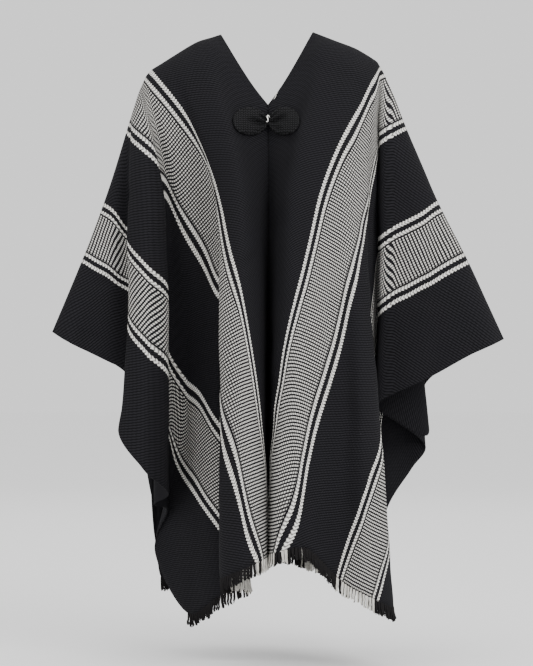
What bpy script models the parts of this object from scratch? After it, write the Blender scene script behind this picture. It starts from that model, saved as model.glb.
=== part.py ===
# Poncho: two woven panels folded over the shoulders, sewn together along the centre below the
# neck slit, with a knitted bow at the foot of the slit and a cut fringe along each hem.
# It keeps the hollow form of a wearer with the arms held out. Lengths below are in millimetres.
from collections import namedtuple
import random

import bmesh
import bpy
import numpy as np
from mathutils import Vector
from mathutils.bvhtree import BVHTree

MM = 0.001
PANEL_WIDTH = 640.0
HALF_LENGTH = 935.0
SLIT_LENGTH = 160.0
CLOTH_THICKNESS = 2.4
SEAM_GAP = 0.3

# A fold line runs from the shoulder line down to the edge of the cloth. Its rows crowd at the
# top, where the cloth rounds over the shoulder, and even out along the sleeves.
ROWS = 15
ROW_CROWDING = 1.9
SLEEVE_CROWDING = 1.15
SLEEVE_START = 150.0
SLEEVE_END = 400.0
SLIT_ROW = 5
COLUMN_WIDTH = 26.0
MOST_COLUMNS = 3
STEEPEST_RUN = 0.2

FRINGE_LENGTH = 22.0
STRIP_HEIGHT = 3.0
STRAND_PITCH = 15.0
STRAND_SHARE = 0.6
STRAND_LEAN = 3.0

# Each loop of the bow in rings out from the pinch: place as a share of the reach, then height,
# thickness, and how deep its two folds are as a share of the thickness.
Ring = namedtuple("Ring", "share height thickness fold")
LOBE = [
    Ring(0.00, 10.0, 9.0, 0.00),
    Ring(0.08, 24.0, 10.5, 0.26),
    Ring(0.17, 35.0, 12.0, 0.24),
    Ring(0.27, 43.0, 13.0, 0.21),
    Ring(0.38, 47.0, 14.0, 0.18),
    Ring(0.50, 48.0, 14.5, 0.15),
    Ring(0.62, 47.5, 14.5, 0.12),
    Ring(0.73, 45.0, 13.5, 0.09),
    Ring(0.83, 40.0, 12.0, 0.06),
    Ring(0.91, 32.0, 10.0, 0.03),
    Ring(0.97, 21.0, 7.5, 0.01),
    Ring(1.00, 9.0, 5.0, 0.00),
]
LOBE_RING_POINTS = 16
BOW_MIDDLE = -153.0
BOW_REACH = {"left": 58.0, "right": 52.0}
BOW_CLEARANCE = 0.7
BRIDGE = 14.0
CLASP_HEIGHT = -149.0
CLASP_LENGTH = 13.0
CLASP_RADIUS = 2.2

# The shoulder line of each side, from the neck point to the cuff: place along the cloth, then
# out from the centre, height and depth (+ is to the back), and the radius it rounds over.
Shoulder = namedtuple("Shoulder", "cloth out height depth radius")
SHOULDERS = {
    "left": [
        Shoulder(0, 80, 0, 0, 40),
        Shoulder(48, 126, -15, 0, 43),
        Shoulder(132, 197, -60, 0, 48),
        Shoulder(144, 206, -70, 0, 48),
        Shoulder(178, 219, -99, 0, 46),
        Shoulder(251, 241, -168, 0, 44),
        Shoulder(386, 276, -287, -15, 43),
        Shoulder(506, 314, -388, -32, 42),
        Shoulder(640, 362, -505, -50, 40),
    ],
    "right": [
        Shoulder(0, 76, 4, 0, 40),
        Shoulder(82, 151, -25, 0, 46),
        Shoulder(121, 184, -46, 0, 48),
        Shoulder(154, 201, -73, 0, 46),
        Shoulder(250, 235, -161, 0, 44),
        Shoulder(386, 287, -282, 0, 43),
        Shoulder(506, 341, -390, -6, 42),
        Shoulder(640, 399, -517, -12, 40),
    ],
}

# One row for each fold line. start is its place along the shoulder line. Then come, one third
# and two thirds of the way down, its reach out from the centre, the place across the cloth that
# lies there, and its depth. Last are the end point and its place along the cloth's edge: along
# the hem from the centre, then up the selvedge.
Fold = namedtuple(
    "Fold", "start out_1 cloth_1 depth_1 out_2 cloth_2 depth_2 out_end high_end depth_end edge_end")
FOLDS = {
    ("left", "front"): [
        Fold(0, 0, 0, -86, 0, 0, -50, 0, -876, -40, 0),
        Fold(20, 18, 40, -118, 15, 122, -168, 8, -877, -182, 232),
        Fold(42, 46, 94, -153, 43, 192, -184, 42, -892, -195, 272),
        Fold(85, 82, 155, -122, 79, 238, -145, 79, -912, -153, 332),
        Fold(102, 71, 184, -85, 37, 340, -50, 31, -922, -62, 493),
        Fold(116, 83, 202, -77, 82, 384, -60, 84, -951, -48, 580),
        Fold(132, 107, 235, -51, 116, 434, -34, 135, -984, 9, 640),
        Fold(143, 144, 252, -36, 140, 406, -16, 195, -880, 60, 775),
        Fold(150, 168, 269, -28, 172, 410, -22, 172, -808, 8, 853),
        Fold(160, 180, 281, -38, 190, 450, -46, 192, -796, -30, 979),
        Fold(177, 172, 311, -74, 167, 481, -84, 167, -777, -68, 1105),
        Fold(192, 201, 330, -105, 201, 491, -128, 206, -731, -136, 1178),
        Fold(211, 233, 352, -77, 233, 498, -99, 248, -668, -112, 1251),
        Fold(221, 225, 352, -60, 210, 503, -60, 208, -596, -62, 1343),
        Fold(231, 233, 345, -44, 233, 498, -48, 233, -571, -60, 1430),
        Fold(348, 266, 445, -55, 266, 544, -58, 265, -556, -61, 1462),
        Fold(459, 299, 520, -64, 299, 580, -66, 299, -539, -68, 1503),
        Fold(561, 333, 592, -76, 333, 614, -78, 333, -522, -80, 1542),
        Fold(640, 362, 640, -50, 362, 640, -50, 362, -505, -50, 1575),
    ],
    ("left", "back"): [
        Fold(0, 0, 0, 100, 0, 0, 105, 0, -885, 95, 0),
        Fold(20, 22, 38, 122, 22, 46, 138, 20, -889, 136, 46),
        Fold(42, 45, 80, 140, 42, 95, 165, 40, -895, 170, 95),
        Fold(85, 78, 140, 95, 76, 185, 85, 75, -900, 75, 205),
        Fold(102, 100, 180, 130, 104, 260, 160, 105, -905, 175, 320),
        Fold(116, 118, 205, 100, 130, 310, 90, 135, -912, 80, 430),
        Fold(132, 140, 235, 118, 158, 370, 132, 163, -920, 140, 520),
        Fold(143, 157, 262, 84, 180, 430, 72, 184, -928, 72, 640),
        Fold(150, 172, 280, 96, 193, 455, 78, 195, -860, 66, 725),
        Fold(160, 184, 296, 82, 203, 470, 64, 202, -780, 60, 830),
        Fold(177, 197, 315, 96, 213, 490, 84, 213, -725, 72, 960),
        Fold(192, 207, 335, 80, 224, 505, 66, 224, -680, 58, 1080),
        Fold(211, 219, 352, 84, 235, 515, 78, 240, -640, 74, 1200),
        Fold(221, 229, 362, 66, 241, 510, 60, 243, -608, 58, 1330),
        Fold(231, 236, 360, 46, 240, 500, 44, 241, -580, 46, 1420),
        Fold(348, 266, 445, 38, 266, 544, 38, 266, -558, 36, 1462),
        Fold(459, 299, 520, 18, 299, 580, 18, 299, -539, 17, 1503),
        Fold(561, 333, 592, 2, 333, 614, 1, 333, -522, 0, 1542),
        Fold(640, 362, 640, -50, 362, 640, -50, 362, -505, -50, 1575),
    ],
    ("right", "front"): [
        Fold(0, 0, 0, -86, 0, 0, -50, 0, -876, -40, 0),
        Fold(20, 18, 36, -118, 15, 124, -166, 9, -867, -182, 230),
        Fold(42, 41, 80, -150, 43, 178, -184, 60, -856, -200, 271),
        Fold(77, 114, 182, -150, 127, 286, -163, 118, -911, -174, 401),
        Fold(99, 143, 218, -136, 156, 332, -178, 165, -937, -190, 478),
        Fold(112, 162, 258, -105, 184, 379, -139, 205, -958, -145, 570),
        Fold(122, 167, 280, -60, 167, 459, -60, 192, -948, -85, 640),
        Fold(128, 176, 294, -45, 172, 445, -38, 158, -825, -38, 816),
        Fold(131, 186, 306, -28, 186, 485, -20, 181, -672, -14, 1088),
        Fold(138, 190, 303, -44, 190, 471, -48, 185, -625, -51, 1335),
        Fold(190, 213, 339, -46, 213, 490, -49, 213, -608, -52, 1368),
        Fold(250, 235, 379, -46, 235, 510, -49, 235, -598, -53, 1391),
        Fold(320, 262, 425, -46, 262, 535, -49, 262, -586, -52, 1420),
        Fold(386, 287, 471, -46, 287, 555, -48, 287, -573, -50, 1450),
        Fold(505, 341, 550, -49, 341, 595, -50, 341, -543, -51, 1511),
        Fold(578, 372, 598, -50, 372, 619, -51, 372, -529, -52, 1545),
        Fold(640, 399, 640, -12, 399, 640, -12, 399, -517, -12, 1575),
    ],
    ("right", "back"): [
        Fold(0, 0, 0, 100, 0, 0, 105, 0, -885, 95, 0),
        Fold(20, 22, 38, 122, 22, 46, 138, 21, -889, 136, 46),
        Fold(42, 45, 80, 140, 45, 100, 165, 45, -895, 170, 95),
        Fold(77, 80, 135, 95, 82, 180, 90, 82, -900, 80, 200),
        Fold(99, 105, 175, 130, 112, 245, 160, 115, -905, 170, 310),
        Fold(112, 125, 200, 100, 140, 310, 85, 148, -912, 75, 430),
        Fold(122, 145, 230, 115, 165, 365, 135, 178, -920, 150, 520),
        Fold(128, 160, 255, 90, 185, 430, 90, 190, -930, 80, 640),
        Fold(131, 172, 275, 95, 201, 455, 90, 205, -812, 75, 800),
        Fold(138, 185, 300, 100, 231, 480, 105, 250, -741, 95, 915),
        Fold(190, 205, 330, 85, 246, 490, 90, 273, -705, 90, 970),
        Fold(250, 218, 355, 50, 200, 500, 35, 186, -637, 25, 1120),
        Fold(320, 245, 410, 42, 258, 530, 28, 272, -682, 30, 1245),
        Fold(386, 283, 460, 46, 276, 560, 52, 268, -600, 60, 1350),
        Fold(505, 341, 550, 36, 341, 595, 36, 330, -548, 37, 1490),
        Fold(578, 372, 598, 28, 372, 619, 27, 369, -530, 26, 1540),
        Fold(640, 399, 640, -12, 399, 640, -12, 399, -517, -12, 1575),
    ],
}

# Where the neck slit ends on the centre line: height and depth. Its edge leaves the shoulder
# part round and part straight, and sags a little below a straight line.
SLIT_ENDS = {"front": (-127.0, -62.0), "back": (-111.0, 85.0)}
SLIT_ROUNDNESS = 0.6
SLIT_SAG = 0.18

# The bow is laid on from this depth, on cloth that faces the front by at least this much.
IN_FRONT = -600.0
LEAST_FACING = 0.4

INK = (0.012, 0.012, 0.016)
CREAM = (0.62, 0.60, 0.55)
CLASP_GREY = (0.70, 0.70, 0.68)


def clear_scene():
    for obj in list(bpy.data.objects):
        bpy.data.objects.remove(obj, do_unlink=True)


def make_material(name, color, roughness, metallic=0.0):
    material = bpy.data.materials.new(name)
    material.use_nodes = True
    shader = material.node_tree.nodes["Principled BSDF"]
    shader.inputs["Base Color"].default_value = (*color, 1.0)
    shader.inputs["Roughness"].default_value = roughness
    shader.inputs["Metallic"].default_value = metallic
    material.diffuse_color = (*color, 1.0)
    return material


def ease(stations, f):
    """Monotone cubic through evenly spaced stations, read at the fractions f."""
    y = np.array(stations, float)
    last = len(y) - 1
    rise = np.diff(y) * last
    slope = np.zeros(last + 1)
    for i in range(1, last):
        if rise[i - 1] * rise[i] > 0:
            slope[i] = 2 * rise[i - 1] * rise[i] / (rise[i - 1] + rise[i])
    slope[0] = 1.5 * rise[0] - 0.5 * slope[1]
    slope[last] = 1.5 * rise[last - 1] - 0.5 * slope[last - 1]
    place = np.clip(np.asarray(f) * last, 0, last)
    i = np.minimum(place.astype(int), last - 1)
    t = place - i
    value = y[i] * (1 + 2 * t) * (1 - t) ** 2 + y[i + 1] * t * t * (3 - 2 * t)
    bend = slope[i] * t * (1 - t) ** 2 - slope[i + 1] * t * t * (1 - t)
    return value + bend / last


def shoulder_at(side, cloth):
    table = np.array(SHOULDERS[side], float)
    values = [np.interp(cloth, table[:, 0], table[:, k]) for k in range(1, 5)]
    return Shoulder(cloth, *values)


def rounding_height(side, cloth):
    """How far down the cloth rounds over the shoulder: more where the arm hangs steeply."""
    above = shoulder_at(side, max(cloth - COLUMN_WIDTH, 0))
    below = shoulder_at(side, min(cloth + COLUMN_WIDTH, PANEL_WIDTH))
    run = below.out - above.out
    length = np.hypot(run, above.height - below.height)
    return shoulder_at(side, cloth).radius / max(run / length, STEEPEST_RUN)


def row_fractions(cloth):
    sleeve = np.clip((cloth - SLEEVE_START) / (SLEEVE_END - SLEEVE_START), 0, 1)
    power = ROW_CROWDING + (SLEEVE_CROWDING - ROW_CROWDING) * sleeve
    return np.linspace(0, 1, ROWS) ** power


def fold_points(side, half, fold):
    """Points down one fold line: out, depth, height, and the cloth's own width and length."""
    top = shoulder_at(side, fold.start)
    f = row_fractions(fold.start)
    out = ease((top.out, fold.out_1, fold.out_2, fold.out_end), f)
    height = top.height + (fold.high_end - top.height) * f
    cloth = ease((fold.start, fold.cloth_1, fold.cloth_2, min(fold.edge_end, PANEL_WIDTH)), f)
    first = top.depth + (top.radius if half == "back" else -top.radius)
    depth = ease((first, fold.depth_1, fold.depth_2, fold.depth_end), f)
    over = np.clip((top.height - height) / rounding_height(side, fold.start), 0, 1)
    depth = top.depth + (depth - top.depth) * np.sqrt(1 - (1 - over) ** 2)
    points = np.stack([out, depth, height], 1)
    run = np.concatenate([[0], np.cumsum(np.linalg.norm(np.diff(points, axis=0), axis=1))])
    length = HALF_LENGTH - max(fold.edge_end - PANEL_WIDTH, 0)
    return np.column_stack([points, cloth, length * run / max(run[-1], 1.0)])


def centre_points(side, half, fold):
    """The inner edge of a panel: down the neck slit, then down the centre seam."""
    top = shoulder_at(side, 0)
    slit_height, slit_depth = SLIT_ENDS[half]
    f = row_fractions(0)
    slit = np.clip(f / f[SLIT_ROW], 0, 1)
    seam = np.clip((f - f[SLIT_ROW]) / (1 - f[SLIT_ROW]), 0, 1)
    out = top.out * (1 - slit)
    sunk = slit + SLIT_SAG * slit * (1 - slit)
    height = top.height + (slit_height - top.height) * sunk + (fold.high_end - slit_height) * seam
    round_over = SLIT_ROUNDNESS * np.sqrt(1 - (1 - slit) ** 2) + (1 - SLIT_ROUNDNESS) * slit
    below = ease((slit_depth, fold.depth_1, fold.depth_2, fold.depth_end), seam)
    depth = np.where(seam > 0, below, slit_depth * round_over)
    length = SLIT_LENGTH * slit + (HALF_LENGTH - SLIT_LENGTH) * seam
    return np.column_stack([out, depth, height, 0 * f, length])


def column_counts(lines):
    """Columns between neighbouring fold lines, from the widest gap on either half."""
    counts = []
    for i in range(len(lines["front"]) - 1):
        widest = 0
        for grid in lines.values():
            apart = np.linalg.norm(grid[i + 1][:, :3] - grid[i][:, :3], axis=1)
            widest = max(widest, apart.max())
        counts.append(int(np.clip(np.ceil(widest / COLUMN_WIDTH), 1, MOST_COLUMNS)))
    counts[-1] = 1
    return counts


def across(lines, counts):
    """Smooth columns from fold line to fold line, as a centripetal Catmull-Rom spline."""
    apart = np.sqrt(np.linalg.norm(np.diff(lines[:, :, :3], axis=0), axis=2)) + 0.3
    knots = np.concatenate([np.zeros((1, ROWS)), np.cumsum(apart, axis=0)])[:, :, None]
    rise = np.diff(lines, axis=0) / np.diff(knots, axis=0)
    slope = np.zeros_like(lines)
    slope[0] = rise[0]
    slope[-1] = rise[-1]
    slope[1:-1] = rise[:-1] + rise[1:] - (lines[2:] - lines[:-2]) / (knots[2:] - knots[:-2])
    columns = []
    for i, count in enumerate(counts):
        span = knots[i + 1] - knots[i]
        for k in range(count):
            t = k / count
            value = lines[i] * (1 + 2 * t) * (1 - t) ** 2 + lines[i + 1] * t * t * (3 - 2 * t)
            bend = slope[i] * t * (1 - t) ** 2 - slope[i + 1] * t * t * (1 - t)
            columns.append(value + span * bend)
    columns.append(lines[-1])
    return np.array(columns)


def part_seam(grid):
    """Moves the sewn edge out from the centre, so that two walls meet with the seam gap."""
    for row in range(SLIT_ROW, ROWS):
        inward = grid[0, row, :3] - grid[1, row, :3]
        along = grid[0, min(row + 1, ROWS - 1), :3] - grid[0, row - 1, :3]
        normal = np.cross(inward, along)
        lean = abs(normal[0]) / np.linalg.norm(normal)
        grid[0, row, 0] = SEAM_GAP / 2 + lean * CLOTH_THICKNESS / 2
        nearest = SEAM_GAP + CLOTH_THICKNESS / 2
        grid[1:, row, 0] = np.maximum(grid[1:, row, 0], nearest)


def panel_halves(side):
    """Front and back grids of one panel, as columns of rows, on their own side of the centre."""
    lines = {}
    for half in ("front", "back"):
        folds = FOLDS[side, half]
        points = [centre_points(side, half, folds[0])]
        points += [fold_points(side, half, fold) for fold in folds[1:]]
        lines[half] = np.array(points)
    counts = column_counts(lines)
    halves = {}
    for half in ("front", "back"):
        grid = across(lines[half], counts)
        part_seam(grid)
        if side == "left":
            grid[:, :, 0] *= -1
        halves[half] = grid
    return halves


def sheet_mesh(name, halves):
    """One open sheet: the back's rows from hem to shoulder, then the front's down to its hem."""
    grid = np.concatenate([halves["back"][:, :0:-1], halves["front"]], axis=1)
    columns, rows = grid.shape[:2]
    mesh = bpy.data.meshes.new(name)
    bm = bmesh.new()
    verts = [[bm.verts.new(Vector(grid[i, j, :3]) * MM) for j in range(rows)]
             for i in range(columns - 1)]
    cuff = bm.verts.new(Vector(grid[-1, ROWS - 1, :3]) * MM)
    verts.append([cuff] * rows)
    for i in range(columns - 1):
        for j in range(rows - 1):
            corners = (verts[i][j], verts[i + 1][j], verts[i + 1][j + 1], verts[i][j + 1])
            bm.faces.new(dict.fromkeys(corners))
    bmesh.ops.triangulate(bm, faces=bm.faces, quad_method="SHORT_EDGE")
    bmesh.ops.recalc_face_normals(bm, faces=bm.faces)
    bm.to_mesh(mesh)
    bm.free()
    return mesh


def add_object(name, mesh, material, collection):
    obj = bpy.data.objects.new(name, mesh)
    mesh.materials.append(material)
    mesh.shade_smooth()
    collection.objects.link(obj)
    return obj


def make_panel(side, halves, material, collection):
    name = f"panel_{side}"
    panel = add_object(name, sheet_mesh(name, halves), material, collection)
    wall = panel.modifiers.new("wall", "SOLIDIFY")
    wall.thickness = CLOTH_THICKNESS * MM
    wall.offset = 0.0
    return panel


def hem_frames(grid, half, sheet):
    """Points along the hem with the way down and the way out of the cloth at each."""
    hem = [i for i in range(len(grid)) if grid[i, -1, 4] > HALF_LENGTH - 0.5]
    points = grid[hem, -1, :3]
    down = points - grid[hem, -2, :3]
    down /= np.linalg.norm(down, axis=1)[:, None]
    rows = 2 * ROWS - 1
    last = rows - 1 if half == "front" else 0
    outward = np.array([sheet.vertices[i * rows + last].normal for i in hem])
    return points, down, outward


def make_fringe(side, half, grid, sheet, material, collection):
    """A strip along the hem with one pointed strand for each pitch, all one body."""
    rng = random.Random(f"{side} {half}")
    points, down, outward = hem_frames(grid, half, sheet)
    bm = bmesh.new()
    away = -1 if side == "left" else 1

    def corner(place):
        place.x = away * max(away * place.x, SEAM_GAP / 2)
        return bm.verts.new(place * MM)

    def section(i, t, drop, thickness):
        centre = points[i] * (1 - t) + points[i + 1] * t
        fall = down[i] * (1 - t) + down[i + 1] * t
        out = outward[i] * (1 - t) + outward[i + 1] * t
        middle = centre + fall * drop
        return [corner(Vector(middle + out * thickness * k)) for k in (-0.5, 0.5)]

    stations = []
    for i in range(len(points) - 1):
        length = np.linalg.norm(points[i + 1] - points[i])
        count = max(1, round(length / STRAND_PITCH))
        for k in range(count):
            stations += [(i, k / count, True), (i, (k + STRAND_SHARE) / count, False)]
    stations.append((len(points) - 2, 1.0, False))
    rings = []
    for i, t, _ in stations:
        top = section(i, t, SEAM_GAP, CLOTH_THICKNESS)
        low = section(i, t, SEAM_GAP + STRIP_HEIGHT, CLOTH_THICKNESS)
        rings.append((top[0], top[1], low[1], low[0]))
    for (i, t, strand), ring, after in zip(stations, rings, rings[1:]):
        for a, b in ((0, 1), (1, 2), (3, 0)):
            bm.faces.new((ring[a], ring[b], after[b], after[a]))
        foot = (ring[2], ring[3], after[3], after[2])
        if not strand:
            bm.faces.new(foot)
            continue
        middle = sum((v.co for v in foot), Vector()) / (4 * MM)
        drop = Vector(down[i]) * (FRINGE_LENGTH - STRIP_HEIGHT - SEAM_GAP)
        lean = Vector((rng.uniform(-1, 1), rng.uniform(-1, 1), 0)) * STRAND_LEAN
        tip = corner(middle + drop + lean)
        for a, b in zip(foot, foot[1:] + foot[:1]):
            bm.faces.new((a, b, tip))
    bm.faces.new(rings[0])
    bm.faces.new(rings[-1])
    bmesh.ops.recalc_face_normals(bm, faces=bm.faces)
    name = f"fringe_{half}_{side}"
    mesh = bpy.data.meshes.new(name)
    bm.to_mesh(mesh)
    bm.free()
    return add_object(name, mesh, material, collection)


def front_tree(sheets):
    """A search tree of the two open sheets, to lay the bow on them."""
    verts = []
    faces = []
    for mesh in sheets:
        first = len(verts)
        verts += [vert.co.copy() for vert in mesh.vertices]
        faces += [[first + i for i in face.vertices] for face in mesh.polygons]
    return BVHTree.FromPolygons(verts, faces)


def lay_on(tree, out, height, lift):
    """The point that lies lift in front of the cloth here; over the seam it bridges the valley."""
    beside = max(abs(out), BRIDGE) * (-1 if out < 0 else 1)
    start = Vector((beside, IN_FRONT, height)) * MM
    hit, normal, _, _ = tree.ray_cast(start, Vector((0, 1, 0)))
    wall = (CLOTH_THICKNESS / 2 + BOW_CLEARANCE) / max(abs(normal.y), LEAST_FACING)
    return Vector((out * MM, hit.y - (wall + lift) * MM, height * MM))


def make_lobe(side, tree, material, collection):
    """One loop of the bow: narrow at the pinch, wide and full further out, with two folds."""
    sign = -1 if side == "left" else 1
    bm = bmesh.new()
    rings = []
    for row in LOBE:
        out = SEAM_GAP / 2 + (BOW_REACH[side] - SEAM_GAP / 2) * row.share
        ring = []
        for k in range(LOBE_RING_POINTS):
            angle = 2 * np.pi * k / LOBE_RING_POINTS
            up = np.cos(angle)
            folds = 1 - row.fold * np.cos(3 * np.pi * up)
            lift = row.thickness * max(np.sin(angle), 0) * folds
            point = lay_on(tree, sign * out, BOW_MIDDLE + up * row.height / 2, lift)
            ring.append(bm.verts.new(point))
        rings.append(ring)
    for ring, after in zip(rings, rings[1:]):
        for k in range(LOBE_RING_POINTS):
            j = (k + 1) % LOBE_RING_POINTS
            bm.faces.new((ring[k], ring[j], after[j], after[k]))
    bm.faces.new(rings[0])
    bm.faces.new(rings[-1])
    bmesh.ops.recalc_face_normals(bm, faces=bm.faces)
    name = f"bow_lobe_{side}"
    mesh = bpy.data.meshes.new(name)
    bm.to_mesh(mesh)
    bm.free()
    return add_object(name, mesh, material, collection)


def make_clasp(tree, material, collection):
    """The small pale pin that holds the two loops together at the pinch."""
    bpy.ops.mesh.primitive_uv_sphere_add(segments=10, ring_count=8, radius=CLASP_RADIUS * MM)
    clasp = bpy.context.object
    clasp.name = "bow_clasp"
    clasp.data.name = "bow_clasp"
    for vert in clasp.data.vertices:
        vert.co.z *= CLASP_LENGTH / (2 * CLASP_RADIUS)
    lift = LOBE[1].thickness + CLASP_RADIUS
    beside = [lay_on(tree, out, CLASP_HEIGHT, lift) for out in (-BRIDGE, BRIDGE)]
    clasp.location = (beside[0] + beside[1]) / 2
    clasp.data.materials.append(material)
    for owner in list(clasp.users_collection):
        owner.objects.unlink(clasp)
    collection.objects.link(clasp)
    return clasp


def build_poncho():
    clear_scene()
    collection = bpy.data.collections.new("poncho")
    bpy.context.scene.collection.children.link(collection)
    wool = make_material("black_wool", INK, 0.9)
    yarn = make_material("fringe_yarn", CREAM, 0.9)
    knit = make_material("bow_knit", INK, 0.85)
    pale = make_material("clasp_metal", CLASP_GREY, 0.35, 1.0)
    sheets = []
    for side in ("left", "right"):
        halves = panel_halves(side)
        panel = make_panel(side, halves, wool, collection)
        sheets.append(panel.data)
        for half in ("front", "back"):
            make_fringe(side, half, halves[half], panel.data, yarn, collection)
    tree = front_tree(sheets)
    for side in ("left", "right"):
        make_lobe(side, tree, knit, collection)
    make_clasp(tree, pale, collection)


build_poncho()
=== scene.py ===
# The poncho's looks: woven cloth with striped bands, cut fringe, seams and the knitted bow.
# Lengths are in millimetres unless a name says otherwise; mm turns them into metres.
from collections import namedtuple

import bmesh
import bpy
import numpy as np
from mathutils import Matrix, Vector
from mathutils.bvhtree import BVHTree


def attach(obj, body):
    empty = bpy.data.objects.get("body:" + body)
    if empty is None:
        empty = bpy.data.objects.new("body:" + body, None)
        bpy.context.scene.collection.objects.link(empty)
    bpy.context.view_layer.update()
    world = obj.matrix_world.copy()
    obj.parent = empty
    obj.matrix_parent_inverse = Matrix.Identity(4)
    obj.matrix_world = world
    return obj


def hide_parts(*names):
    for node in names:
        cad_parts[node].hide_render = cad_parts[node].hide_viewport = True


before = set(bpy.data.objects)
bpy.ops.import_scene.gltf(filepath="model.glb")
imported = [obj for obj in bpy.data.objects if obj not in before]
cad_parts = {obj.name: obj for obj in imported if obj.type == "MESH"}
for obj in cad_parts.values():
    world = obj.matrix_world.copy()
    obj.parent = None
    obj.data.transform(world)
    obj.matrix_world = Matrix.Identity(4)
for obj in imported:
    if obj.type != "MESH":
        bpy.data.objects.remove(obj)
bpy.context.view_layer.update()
mm = 0.001
print("frame loaded")


# Shader maths: a Wire is a socket that takes Python's operators, a Finish is one material.
class Wire:
    def __init__(self, finish, socket):
        self.finish, self.socket = finish, socket

    def __add__(self, other):
        return self.finish.maths("ADD", self, other)

    def __sub__(self, other):
        return self.finish.maths("SUBTRACT", self, other)

    def __rsub__(self, other):
        return self.finish.maths("SUBTRACT", other, self)

    def __mul__(self, other):
        return self.finish.maths("MULTIPLY", self, other)

    def __truediv__(self, other):
        return self.finish.maths("DIVIDE", self, other)

    def __gt__(self, other):
        return self.finish.maths("GREATER_THAN", self, other)

    def __lt__(self, other):
        return self.finish.maths("LESS_THAN", self, other)

    __radd__ = __add__
    __rmul__ = __mul__

    def fract(self):
        return self.finish.maths("FRACT", self)

    def floor(self):
        return self.finish.maths("FLOOR", self)

    def size(self):
        return self.finish.maths("ABSOLUTE", self)

    def fromMiddle(self):  # of each repeat: -1 to 1
        return (self.fract() - 0.5) * 2

    def power(self, exponent):
        return self.finish.maths("POWER", self, exponent)

    def rise(self, low, high):  # 0 below low, 1 above high, smooth between
        sockets = {"Value": self, "From Min": low, "From Max": high}
        return self.finish.node("ShaderNodeMapRange", {"interpolation_type": "SMOOTHSTEP"}, sockets)

    def band(self, low, high, soft):  # 1 between low and high
        return self.rise(low - soft, low + soft) * (1 - self.rise(high - soft, high + soft))


class Finish:
    def __init__(self, name, roughness, metallic=0.0, specular=0.12):
        self.material = bpy.data.materials.new(name)
        self.material.use_nodes = True
        self.tree = self.material.node_tree
        self.shader = self.tree.nodes["Principled BSDF"]
        self.shader.inputs["Roughness"].default_value = roughness
        self.shader.inputs["Metallic"].default_value = metallic
        self.shader.inputs["Specular IOR Level"].default_value = specular

    def node(self, kind, settings=None, sockets=None, output=0):
        made = self.tree.nodes.new(kind)
        for key, value in (settings or {}).items():
            setattr(made, key, value)
        for key, value in (sockets or {}).items():
            self.feed(made.inputs[key], value)
        return Wire(self, made.outputs[output])

    def feed(self, socket, value):
        if isinstance(value, Wire):
            self.tree.links.new(value.socket, socket)
        else:
            socket.default_value = (*value, 1.0) if socket.type == "RGBA" else value

    def maths(self, operation, *values):
        return self.node("ShaderNodeMath", {"operation": operation}, dict(enumerate(values)))

    def noise(self, vector, scale, detail=2.0):
        sockets = {"Vector": vector, "Scale": scale, "Detail": detail}
        return self.node("ShaderNodeTexNoise", None, sockets)

    def split(self, vector):
        return [self.node("ShaderNodeSeparateXYZ", None, {"Vector": vector}, axis) for axis in "XY"]

    def mix(self, factor, first, second):
        sockets = {0: factor, 6: first, 7: second}
        return self.node("ShaderNodeMix", {"data_type": "RGBA"}, sockets, 2)

    def attribute(self, name):
        return self.node("ShaderNodeAttribute", {"attribute_name": name}, None, "Fac")

    def objectPlace(self):
        return self.node("ShaderNodeTexCoord", None, None, "Object")

    def color(self, value):
        self.feed(self.shader.inputs["Base Color"], value)

    def relief(self, height, deep):  # height is 0 to 1, deep is what 1 stands for, in mm
        sockets = {"Height": height, "Strength": 1.0, "Distance": deep * mm}
        self.feed(self.shader.inputs["Normal"], self.node("ShaderNodeBump", None, sockets))


weave = {
    "bandStart": 132, "bandStep": 254, "bandMiddle": 60, "bandSplit": 319,
    "outerStripe": (53.0, 59.2), "innerStripe": (39.2, 44.8), "checkHalf": 36.0, "edgeSoft": 0.35,
    "cellWide": 4.2, "cellLong": 5.8, "rowShare": 0.47, "notchShare": 0.40, "notchDark": 0.90,
    "cellSoft": 0.12,
    "chainWide": 3.1, "chainLong": 5.8, "chainSlant": 0.50, "chainGap": 0.30, "serration": 1.5,
    # the darkening of the loops' sides is painted shade
    "chainFull": 0.95, "chainSides": (0.5, 1.5), "chainSideShade": 0.6,
    "twillWide": 6.4, "twillLong": 4.9, "twillSlope": 0.62, "twillBreak": 0.3, "twillRise": (0.05, 0.85),
    # the deep black is painted shade in the grooves between the twill floats
    "black": (0.0160, 0.0155, 0.0182), "twillGrooveShade": (0.0002, 0.0002, 0.0003),
    # the deep cream is painted shade between the white loops
    "cream": (0.88, 0.86, 0.81), "creamLoopShade": (0.016, 0.015, 0.015),
    "rowCream": (0.78, 0.76, 0.72), "rowWorn": (0.42, 0.41, 0.38),
    "shaded": (0.009, 0.009, 0.012), "shadeScale": 14, "shadeStart": 0.35, "shadeShare": 0.5,
    "swayScale": 190, "sway": 1.1, "driftScale": 70, "drift": 1.6, "fuzzScale": 900, "fuzz": 0.25,
    "ribShare": 0.8, "loopShare": 0.85, "ribHigh": 0.6, "dotHigh": 0.8,
    "roughness": 0.95, "relief": 0.55,
}


def bandPlace(across):  # how far a thread lies from the middle of its band
    second = across > weave["bandSplit"]
    place = across - weave["bandStart"] - second * weave["bandStep"]
    return place, (place - weave["bandMiddle"]).size()


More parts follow.
